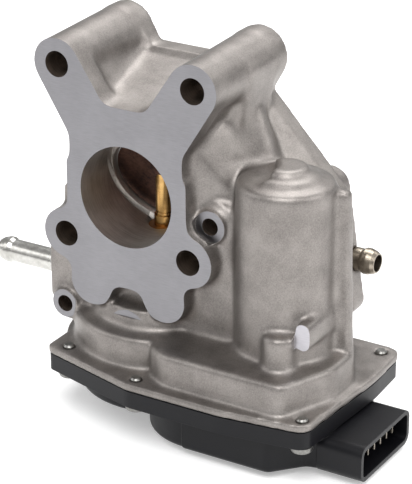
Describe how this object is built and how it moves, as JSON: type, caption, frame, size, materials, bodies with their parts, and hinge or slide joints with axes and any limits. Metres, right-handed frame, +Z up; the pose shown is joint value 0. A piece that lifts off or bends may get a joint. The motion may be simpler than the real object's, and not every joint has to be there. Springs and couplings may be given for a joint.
{
  "type": "egr valve",
  "caption": "Motor-driven exhaust gas recirculation valve: cast body, oblique flap in a round passage, two-stage gear train under a moulded cover, coolant nipples.",
  "frame": {"origin": "centre of the gas inlet on the front flange face", "axes": "+X to the right seen from the front, +Y back into the body along the gas passage, +Z up along the flap shaft"},
  "size_m": [0.152, 0.0769, 0.1348],
  "materials": {
    "cast_aluminium": "as cast, satin",
    "zinc_steel": "zinc plated",
    "heat_steel": "heat tinted",
    "steel": "ground",
    "spring_steel": "drawn wire or sheet",
    "bronze": "sintered",
    "brass": "cut",
    "copper": "plain",
    "rubber": "moulded",
    "gear_plastic": "moulded",
    "black_plastic": "moulded, glass filled",
    "magnet": "sintered",
    "iron": "stacked sheet",
    "carbon": "pressed",
    "board": "laminate"
  },
  "bodies": {
    "valve_body": {"housing": "cast_aluminium", "coolant_nipple_left": "zinc_steel", "coolant_nipple_right": "zinc_steel", "shaft_bush": "bronze", "shaft_seal": "rubber", "bearing_outer_ring": "steel", "bearing_balls": "steel", "return_spring": "spring_steel", "spring_sleeve": "gear_plastic", "stop_pin": "steel", "intermediate_axle": "steel", "motor_can": "zinc_steel", "motor_flange": "zinc_steel", "motor_bushes": "bronze", "motor_magnets": "magnet", "brush_holder": "black_plastic", "motor_brushes": "carbon", "motor_terminals": "copper", "motor_spring_washer": "spring_steel", "motor_screws": "zinc_steel", "cover": "black_plastic", "cover_gasket": "rubber", "connector_terminals": "copper", "sensor_board": "board", "cover_screws": "zinc_steel"},
    "flap": {"flap_disc": "heat_steel", "flap_seal_ring": "heat_steel", "flap_shaft": "heat_steel", "bearing_inner_ring": "steel", "sector_gear": "gear_plastic", "sensor_magnet": "magnet", "shaft_nut": "zinc_steel"},
    "intermediate_gear": {"intermediate_pinion": "steel", "intermediate_wheel": "gear_plastic"},
    "rotor": {"motor_shaft": "steel", "motor_armature": "iron", "motor_commutator": "copper", "motor_pinion": "brass"}
  },
  "joints": [
    {"name": "motor_turn", "type": "hinge", "parent": "valve_body", "child": "rotor", "pos_m": [0.052, 0.0155, -0.074], "axis": [0, 0, 1], "range_deg": [0, 1416.6], "stiffness_Nm_per_rad": 0.00029},
    {"name": "intermediate_turn", "type": "hinge", "parent": "valve_body", "child": "intermediate_gear", "pos_m": [0.02834, 0.01145, -0.074], "axis": [0, 0, 1], "range_deg": [-354.2, 0]},
    {"name": "flap_turn", "type": "hinge", "parent": "valve_body", "child": "flap", "pos_m": [0, 0.024, -0.067], "axis": [0, 0, 1], "range_deg": [0, 85]}
  ],
  "couplings": [
    {"joint": "intermediate_turn", "follows": "motor_turn", "ratio": -0.25},
    {"joint": "flap_turn", "follows": "motor_turn", "ratio": 0.06}
  ]
}
